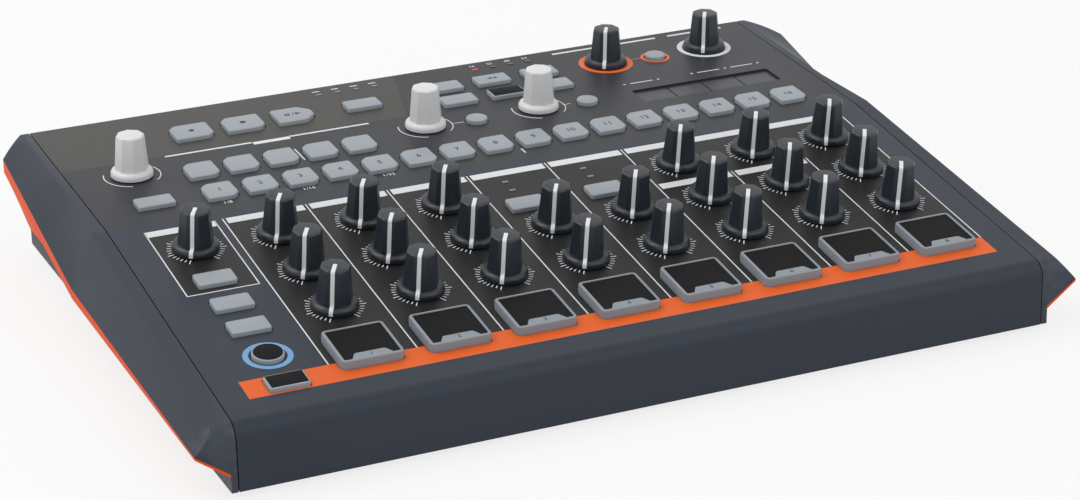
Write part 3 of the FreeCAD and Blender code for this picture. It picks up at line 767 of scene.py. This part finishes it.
# %% The bent cover and its openings
COVER_WIDTH = 318.8
SHEET = 1.5
BEND_RADIUS = 6.0
HALF_BEND = math.radians(41)
SLIT = 0.35
LAMP_SLIT = 0.3
REAR_LENGTH = 103.9
LIP = 8.0
BUSHING_HOLE = 4.5
CUTTER_REACH = 5.0
LAMP_SIZE = (2.6, 1.2)
PAGE_LAMP_X = (31.4, 39.5, 47.6, 55.7)
SYNC_LAMP_X = (-39.1, -30.8, -22.5, -14.3)
TYPE_LAMPS = [(FRONT_PLANE, x, s) for x in (-3.9, 29.4) for s in (129.0, 122.0)]
PAGE_LAMPS = [(REAR_PLANE, x, 96.4) for x in PAGE_LAMP_X]
SYNC_LAMPS = [(REAR_PLANE, x, 96.0) for x in SYNC_LAMP_X]
TOUCH_SPOT = (112.95, 41.7)
TOUCH_SIZE = (63.3, 13.4)


def cover_shape():
    """The bent sheet in metres, without openings."""
    lowest = Vector(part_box("top_cover")[0]) / MM
    corner, kink = FRONT_PLANE[1], REAR_PLANE[1]
    back = kink + REAR_PLANE[2] * REAR_LENGTH
    path = [Vector((0, lowest.y, lowest.z)), corner, kink, back, back - Vector((0, 0, LIP))]
    strip = flat_start(0, 0, 0, COVER_WIDTH, 1.0)
    edit_edges(strip, lambda a, b: a.y < 0 and b.y < 0)
    bpy.ops.transform.translate(value=path[0] + Vector((0, 0.5, 0)))
    bpy.ops.object.mode_set(mode="OBJECT")
    edit_edges(strip, lambda a, b: abs(a.y - 0.5) < 0.01 and abs(b.y - 0.5) < 0.01)
    bpy.ops.transform.translate(value=path[1] - Vector((0, 0.5, 0)))
    for first, second in zip(path[1:], path[2:]):
        bpy.ops.mesh.extrude_region_move(TRANSFORM_OT_translate={"value": second - first})
    bpy.ops.object.mode_set(mode="OBJECT")
    bevel_edges(strip, lambda a, b: max((a - corner).yz.length, (b - corner).yz.length) < 0.1,
                BEND_RADIUS * math.tan(HALF_BEND), 10)
    bpy.ops.object.mode_set(mode="EDIT")
    bpy.ops.mesh.select_all(action="SELECT")
    bpy.ops.mesh.normals_make_consistent(inside=False)
    bpy.ops.object.mode_set(mode="OBJECT")
    up = sum(face.normal.z * face.area for face in strip.data.polygons)
    skin = strip.modifiers.new("sheet", "SOLIDIFY")
    skin.thickness = SHEET
    skin.offset = -1.0 if up > 0 else 1.0
    skin.use_even_offset = True
    bpy.ops.object.modifier_apply(modifier=skin.name)
    strip.data.transform(Matrix.Scale(MM, 4))
    return strip


def opening_cutters():
    """Every key, pad, knob, lamp and strip opening as one cutter."""
    low, high = -CUTTER_REACH, CUTTER_REACH
    cutters = []
    for plane, rows in KEYS.values():
        cutters += laid_out(rows, plane, low, high, 0.0, SLIT)
    wide, deep = PAD_SIZE
    pad = soft_block(wide + 2 * SLIT, deep + 2 * SLIT, low, high, PAD_CORNER + SLIT, 0.0, 4)
    cutters += [copy_at(pad, place(FRONT_PLANE, x, PAD_S)) for x in PAD_X]
    wide, deep = LAMP_SIZE
    lamp = soft_block(wide + LAMP_SLIT, deep + LAMP_SLIT, low, high, 0.3, 0.0, 2)
    cutters += [copy_at(lamp, place(*spot)) for spot in TYPE_LAMPS + PAGE_LAMPS + SYNC_LAMPS]
    field = soft_block(*TOUCH_SIZE, low, high, 0.8, 0.0)
    cutters.append(copy_at(field, place(REAR_PLANE, *TOUCH_SPOT)))
    bushing = disc_shape(BUSHING_HOLE, low, high, 0.0)
    cutters += [copy_at(bushing, at_joint(joint)) for joint in JOINTS.values() if joint["type"] == "hinge"]
    drop(pad, lamp, field, bushing)
    return joined(cutters, "cutters")


cover = cover_shape()
cutters = opening_cutters()
pick_only(cover)
openings = cover.modifiers.new("openings", "BOOLEAN")
openings.operation = "DIFFERENCE"
openings.solver = "EXACT"
openings.object = cutters
bpy.ops.object.modifier_apply(modifier=openings.name)
drop(cutters)
cover = joined([cover], "cover_sheet")
dress(cover, COVER, "chassis", ("top_cover",), smooth=20)
print("cover faces:", len(cover.data.polygons))

# %% [markdown]
# Printed marks are ink, a few hundredths of a millimetre thick. Here they are thin slips of geometry
# just above the paint, so that they stay crisp and come out in the exported meshes. A stroke is a
# plane scaled to a line and extruded; a ring is one short edge spun round the origin and extruded.

# %% Printing helpers
INK = 0.06
INK_LIFT = 0.02
SPIN_EDGE = 0.02
SEAM = 0.002


def thicken_ink():
    """Extrude the flat mesh in edit mode to the thickness of ink, and leave edit mode."""
    bpy.ops.mesh.select_all(action="SELECT")
    bpy.ops.mesh.extrude_region_move(TRANSFORM_OT_translate={"value": (0, 0, INK)})
    bpy.ops.mesh.select_all(action="SELECT")
    bpy.ops.mesh.normals_make_consistent(inside=False)
    bpy.ops.object.mode_set(mode="OBJECT")


def stroke(x, s, width, depth, turn=0.0, low=INK_LIFT):
    """A thin rectangle of ink, modelled flat round a panel spot in millimetres."""
    mark = flat_start(x, s, low, width, depth, turn)
    bpy.ops.object.mode_set(mode="EDIT")
    thicken_ink()
    return mark


def ring(outer, inner, start=0.0, end=360.0, count=56):
    """A flat ring or arc of ink round the origin, spun from one edge."""
    mark = flat_start((outer + inner) / 2, 0, INK_LIFT, outer - inner, SPIN_EDGE)
    turn = Matrix.Rotation(math.radians(start), 4, "Z")
    mark.data.transform(turn)
    middle = turn @ Vector(((outer + inner) / 2, 0, 0))
    side = turn @ Vector((0, 1, 0))
    edit_edges(mark, lambda a, b: (a - middle).dot(side) < 0 and (b - middle).dot(side) < 0)
    bpy.ops.mesh.delete(type="VERT")
    bpy.ops.mesh.select_all(action="SELECT")
    bpy.ops.mesh.spin(steps=count, angle=-math.radians(end - start), center=(0, 0, 0), axis=(0, 0, 1))
    bpy.ops.mesh.select_all(action="SELECT")
    bpy.ops.mesh.remove_doubles(threshold=SEAM)
    thicken_ink()
    return mark


def lettering(words, size, x, s, low=INK_LIFT):
    """A number as thin ink, centred on a panel spot."""
    mark = start_shape(bpy.ops.object.text_add, location=(0, 0, 0))
    mark.data.body = words
    mark.data.size = size
    mark.data.align_x = "CENTER"
    mark.data.align_y = "CENTER"
    mark.data.extrude = INK / 2
    mark.data.resolution_u = 3
    bpy.ops.object.convert(target="MESH")
    mark = bpy.context.active_object
    mark.data.transform(Matrix.Translation((x, s, low + INK / 2)))
    return mark


def moved(mark, x, s):
    """A mark modelled round the origin, moved to a panel spot."""
    mark.data.transform(Matrix.Translation((x, s, 0)))
    return mark


def printed(marks, plane, name, material, body="chassis"):
    """Flat marks laid on a panel plane as one printed piece."""
    piece = joined(marks, name)
    piece.data.transform(place(plane, 0.0, 0.0))
    dress(piece, material, body)


# %% [markdown]
# Round each knob on the front plane is a ring of ticks from seven to five o'clock, every fifth a little
# longer. One ring is drawn and copied, since all of them share one size.

# %% Tick rings
TICK_INNER = 9.0
TICK_OUTER = 10.7
LONG_TICK = 0.9
LONG_TICK_EVERY = 5
TICK_WIDTH = 0.4
TICKS = 31
TICK_START = -120
TICK_SWEEP = 300.0


def tick_ring():
    """All the ticks round one knob."""
    marks = []
    for index in range(TICKS):
        angle = math.radians(TICK_START - TICK_SWEEP * index / (TICKS - 1))
        outer = TICK_OUTER + (LONG_TICK if index % LONG_TICK_EVERY == 0 else 0.0)
        middle = (outer + TICK_INNER) / 2
        marks.append(stroke(math.cos(angle) * middle, math.sin(angle) * middle, outer - TICK_INNER,
                            TICK_WIDTH, angle))
    return joined(marks, "tick_pattern")


tick_pattern = tick_ring()
rings = [copy_at(tick_pattern, at_joint(JOINTS[name + "_turn"])) for name in FRONT_NAMES]
dress(joined(rings, "tick_rings"), WHITE_INK, "chassis")
drop(tick_pattern)
print("tick rings:", len(rings))

# %% [markdown]
# The sound columns are parted by thin white lines and headed by white bars. The last three columns
# share one long bar, and two of them have a short bar lower down. A framed box holds the metronome.

# %% Lines and bars on the front plane
LINE = 0.5
BAR_DEPTH = 4.1
BAR_GAP = 1.2
LOW_BAR_S = 107.0
marks = []
for index in range(8):
    top = LOW_BAR_S if index in (6, 7) else COLUMN_HEAD
    marks.append(stroke(FIRST_LINE + index * PITCH, (top + COLUMN_FOOT) / 2, LINE, top - COLUMN_FOOT))
marks.append(stroke(BAND_RIGHT - LINE / 2, (COLUMN_HEAD + COLUMN_FOOT) / 2, LINE,
                    COLUMN_HEAD - COLUMN_FOOT))
for index, head in [(i, COLUMN_HEAD) for i in range(5)] + [(i, LOW_BAR_S) for i in (5, 6)]:
    marks.append(stroke(FIRST_LINE + (index + 0.5) * PITCH, head - BAR_DEPTH / 2, PITCH - 2 * BAR_GAP,
                        BAR_DEPTH))
long_left = FIRST_LINE + 5 * PITCH + BAR_GAP
marks.append(stroke((long_left + BAND_RIGHT) / 2, COLUMN_HEAD - BAR_DEPTH / 2,
                    BAND_RIGHT - long_left, BAR_DEPTH))
left, right, low, high = METRO_BOX
marks.append(stroke((left + right) / 2, low, right - left + LINE, LINE))
marks.append(stroke(left, (low + high) / 2, LINE, high - low))
marks.append(stroke(right, (low + high) / 2, LINE, high - low))
marks.append(stroke((left + right) / 2, high - BAR_DEPTH / 2, right - left, BAR_DEPTH))
printed(marks, FRONT_PLANE, "front_lines", WHITE_INK)

# %% [markdown]
# On the rear plane one bar runs over the mode keys and two stand behind the rear knobs. Each endless
# knob has an open circle, and short lines tie two of them to their round keys. Dots and dashes mark the
# touch strip, numbers the page lamps, and fractions three of the step keys.

# %% Marks on the rear plane
MODE_LINE_S = 59.0
REAR_BAR_S = 99.5
STRIP_TICK_S = 55.6
ENCODER_X, ENCODER_S = (-134.9, -11.8, 38.2), 46.6
DISTORTION_X, MASTER_X, REAR_KNOB_S = 85.1, 131.8, 81.0
FRACTIONS = {0: "1/8", 2: "1/16", 4: "1/32"}
FRACTION_S = 7.2
OPEN_CIRCLE = (11.3, 10.85)

marks = [
    stroke(-99.5, MODE_LINE_S, 36.0, 1.2),
    stroke(-48.6, MODE_LINE_S, 34.0, 1.2),
    stroke(-73.5, MODE_LINE_S - 1.1, 15.4, 2.6),
    stroke(-68.2, 40.0, 0.6, 12.0),
    stroke(14.1, 8.0, 0.6, 4.4),
    stroke(93.0, REAR_BAR_S, 49.0, 1.5),
    stroke(136.5, REAR_BAR_S, 26.0, 1.5),
    stroke(50.3, 45.6, 3.6, 0.4),
    stroke(1.9, 45.0, 5.0, 0.4),
]
marks += [stroke(x, STRIP_TICK_S, 0.9, 0.9) for x in (81.6, 97.3, 113.0, 128.7, 144.3)]
marks += [stroke(x, STRIP_TICK_S, 10.4, 0.6) for x in (89.4, 120.8, 136.5)]
for x in ENCODER_X:
    marks.append(moved(ring(*OPEN_CIRCLE, 158.0, 254.0, 30), x, ENCODER_S))
    marks.append(moved(ring(*OPEN_CIRCLE, -46.0, 26.0, 24), x, ENCODER_S))
marks.append(moved(ring(11.6, 9.4), MASTER_X, REAR_KNOB_S))
marks += [lettering(str(16 * (i + 1)), 2.7, x, 100.2) for i, x in enumerate(PAGE_LAMP_X)]
marks += [stroke(x, 99.6, 3.2, 0.7) for x in SYNC_LAMP_X]
marks += [lettering(words, 3.0, STEP_X[i], FRACTION_S) for i, words in FRACTIONS.items()]
printed(marks, REAR_PLANE, "rear_lines", WHITE_INK)

marks = [moved(ring(11.6, 9.2), DISTORTION_X, REAR_KNOB_S), moved(ring(6.2, 5.0), *DISTORTION_KEY),
         stroke(99.0, 80.2, 5.2, 0.5)]
printed(marks, REAR_PLANE, "distortion_rings", ORANGE_INK)
printed([moved(ring(8.95, 6.9), *SHIFT_KEY)], FRONT_PLANE, "shift_ring", BLUE_INK)
print("rear marks printed")

# %% [markdown]
# Numbers are the only lettering: besides those just printed, one to sixteen on the step keys and one
# to eight on the pad tabs. The transport keys and two page keys carry signs. They ride with their keys,
# so a pressed key keeps its mark.

# %% Numbers and signs
SIGN_LOW = KEY_HIGH + INK_LIFT
TIP = 0.02
ARROW_STEP = 1.1
numbers = [lettering(str(i + 1), 4.2, x, STEP_S, KEY_HIGH) for i, x in enumerate(STEP_X)]
printed(numbers, REAR_PLANE, "step_numbers", DARK_INK, "step_buttons_body")
tab_s = PAD_S + TAB_FRONT + TAB_REACH / 2
for number, x in enumerate(PAD_X, start=1):
    printed([lettering(str(number), 2.8, x, tab_s, TAB_HIGH)], FRONT_PLANE,
            "pad_%d_number" % number, DARK_INK, "pad_%d_body" % number)


def triangle(x, s, size, pointing=1.0):
    """A play or page sign: a stroke whose far edge is drawn to a point."""
    mark = stroke(x, s, size, size, 0.0, SIGN_LOW)
    edit_edges(mark, lambda a, b: (a.x - x) * pointing > 0 and (b.x - x) * pointing > 0)
    bpy.ops.transform.resize(value=(1, TIP, 1), center_override=(x, s, 0))
    bpy.ops.object.mode_set(mode="OBJECT")
    return mark


record_dot = disc_shape(1.15, KEY_HIGH, KEY_HIGH + INK, 0.02)
signs = [moved(record_dot, RECORD_X, TRANSPORT_S),
         stroke(STOP_X, TRANSPORT_S, 2.2, 2.2, 0.0, SIGN_LOW),
         stroke(PLAY_X - 3.4, TRANSPORT_S, 0.7, 2.4, 0.0, SIGN_LOW),
         stroke(PLAY_X - 2.2, TRANSPORT_S, 0.7, 2.4, 0.0, SIGN_LOW),
         stroke(PLAY_X - 0.4, TRANSPORT_S, 0.3, 2.8, math.radians(-20), SIGN_LOW),
         triangle(PLAY_X + 1.8, TRANSPORT_S, 2.3)]
printed(signs, REAR_PLANE, "transport_signs", DARK_INK, "transport_buttons_body")
arrows = [triangle(x + side * ARROW_STEP, MENU_S[1], 1.9, pointing)
          for x, pointing in ((MENU_X[1], -1.0), (MENU_X[2], 1.0)) for side in (-1, 1)]
printed(arrows, REAR_PLANE, "page_arrows", DARK_INK, "menu_buttons_body")
print("numbers and signs printed")

# %% [markdown]
# The lamps are small rectangles in their slots: grey in the two shared columns and over the sync key,
# dark red in the page row. One pattern serves them all, and the first page lamp has a faint glow of
# its own colour.

# %% The lamps
lamp_pattern = soft_block(*LAMP_SIZE, -2.0, 0.25, 0.25, 0.1, 2)
lit_spot, *dark_spots = PAGE_LAMPS
lamps = []
for spots, lens in ((TYPE_LAMPS, DIM), (dark_spots, LAMP), (SYNC_LAMPS, DIM)):
    for spot in spots:
        lamps.append(copy_at(lamp_pattern, place(*spot)))
        lamps[-1].data.materials.append(lens)
dress(joined(lamps, "status_lamps"), None, "chassis", ("indicator_lenses",))
dress(joined([copy_at(lamp_pattern, place(*lit_spot))], "lit_page_lamp"), LIT, "chassis")
drop(lamp_pattern)
print("lamps:", len(lamps) + 1)

# %% [markdown]
# The three round sockets at the back hold five brass contacts on an arc, and the power inlet has one
# pin. They are seen only from behind, and end a little inside the rear wall.

# %% Socket contacts
DIN_X = (2.0, -24.0, -50.0)
DIN_CONTACTS = 5
DIN_STEP = 45
DIN_RING = 3.75
DIN_DEEP = -1.2
DIN_PIN = (0.85, 5.5)
INLET_X = -136.0
INLET_DEEP = -0.8
INLET_PIN = (1.0, 7.0)
SOCKET_HEIGHT = 19.0
BRASS = finish("brass", srgb(206, 176, 104), 0.3, grain=1500.0, bump=0.02, metallic=1.0)


def contact_pattern(radius, length):
    """A round contact whose soft end points towards the back."""
    pin = column(radius, -length, 0.0, 20)
    bevel_edges(pin, at_height(0.0), radius * 0.4, 2)
    return pin


back_wall = (REAR_PLANE[1] + REAR_PLANE[2] * REAR_LENGTH).y
face_back = (Matrix.Scale(MM, 4) @ Matrix.Translation((0, back_wall, SOCKET_HEIGHT))
             @ Matrix.Rotation(math.radians(-90), 4, "X"))
din_pin = contact_pattern(*DIN_PIN)
pins = []
for x in DIN_X:
    for index in range(DIN_CONTACTS):
        turn = math.radians(DIN_STEP * index)
        spot = (x + math.cos(turn) * DIN_RING, -math.sin(turn) * DIN_RING, DIN_DEEP)
        pins.append(copy_at(din_pin, face_back @ Matrix.Translation(spot)))
dress(joined(pins, "round_socket_contacts"), BRASS, "chassis")
inlet_pin = contact_pattern(*INLET_PIN)
pin = copy_at(inlet_pin, face_back @ Matrix.Translation((INLET_X, 0, INLET_DEEP)))
dress(joined([pin], "inlet_pin"), PLATED, "chassis")
drop(din_pin, inlet_pin)
print("contacts placed")

# %% [markdown]
# The machine stands on a pale floor that runs on to the horizon, under a soft even sky and two broad
# lamps. The floor and sky look white to the camera, but light the machine at a lower level, so the
# background is pale and the colours stay as written. The camera stands where the photographer's did,
# before the left front corner and above it.

# %% Floor, light and camera
FLOOR_COLOUR = (0.86, 0.86, 0.865, 1.0)
FLOOR_ROUGHNESS = 0.9
FLOOR_GLOW = 0.8
WORLD_LEVEL = 0.62
KEY_LAMP = ((-0.9, 0.5, 1.6), 1.2, 13.0)
FILL_LAMP = ((0.9, -1.3, 1.2), 1.4, 5.0)
CAMERA_PLACE = (-0.444, -1.011, 0.4735)
CAMERA_ANGLES = (67.476, 0.714, -24.411)
CAMERA_LENS = 102.07

floor = start_shape(bpy.ops.mesh.primitive_plane_add, size=12.0, location=(0, 0, 0))
floor.name = "floor"
floor_paint = bpy.data.materials.new("floor_paint")
floor_paint.use_nodes = True
floor_tree = floor_paint.node_tree
floor_shader = floor_tree.nodes["Principled BSDF"]
floor_shader.inputs["Base Color"].default_value = FLOOR_COLOUR
floor_shader.inputs["Roughness"].default_value = FLOOR_ROUGHNESS


def seen_directly(tree, share):
    """A share of one for camera, glossy and transmitted rays, and nought for the rest."""
    rays = tree.nodes.new("ShaderNodeLightPath").outputs
    value = rays["Is Camera Ray"]
    for label in ("Is Glossy Ray", "Is Transmission Ray"):
        value = calculate(tree, "MAXIMUM", value, rays[label])
    return calculate(tree, "MULTIPLY", value, share)


white = floor_tree.nodes.new("ShaderNodeEmission")
blend = floor_tree.nodes.new("ShaderNodeMixShader")
floor_links = floor_tree.links
floor_links.new(seen_directly(floor_tree, FLOOR_GLOW), blend.inputs["Fac"])
floor_links.new(floor_shader.outputs["BSDF"], blend.inputs[1])
floor_links.new(white.outputs["Emission"], blend.inputs[2])
floor_links.new(blend.outputs["Shader"], floor_tree.nodes["Material Output"].inputs["Surface"])
floor.data.materials.append(floor_paint)

world = bpy.data.worlds.new("studio")
bpy.context.scene.world = world
world.use_nodes = True
world_tree = world.node_tree
background = world_tree.nodes["Background"]
level = calculate(world_tree, "ADD", seen_directly(world_tree, 1.0 - WORLD_LEVEL), WORLD_LEVEL)
world_tree.links.new(level, background.inputs["Strength"])
background.inputs["Color"].default_value = (1.0, 1.0, 1.0, 1.0)


def soft_lamp(name, spot, size, power):
    """A broad square lamp that points at the machine."""
    data = bpy.data.lights.new(name, "AREA")
    data.shape = "SQUARE"
    data.size = size
    data.energy = power
    lamp = bpy.data.objects.new(name, data)
    lamp.location = spot
    lamp.rotation_euler = (-Vector(spot)).to_track_quat("-Z", "Y").to_euler()
    bpy.context.scene.collection.objects.link(lamp)
    return lamp


soft_lamp("key_lamp", *KEY_LAMP)
soft_lamp("fill_lamp", *FILL_LAMP)

camera_data = bpy.data.cameras.new("camera")
camera_data.sensor_width = 36.0
camera_data.lens = CAMERA_LENS
camera_data.clip_start = 0.01
camera = bpy.data.objects.new("camera", camera_data)
camera.location = CAMERA_PLACE
camera.rotation_euler = tuple(math.radians(angle) for angle in CAMERA_ANGLES)
bpy.context.scene.collection.objects.link(camera)
bpy.context.scene.camera = camera
bpy.context.scene.view_settings.view_transform = "Standard"
print("camera and light ready")
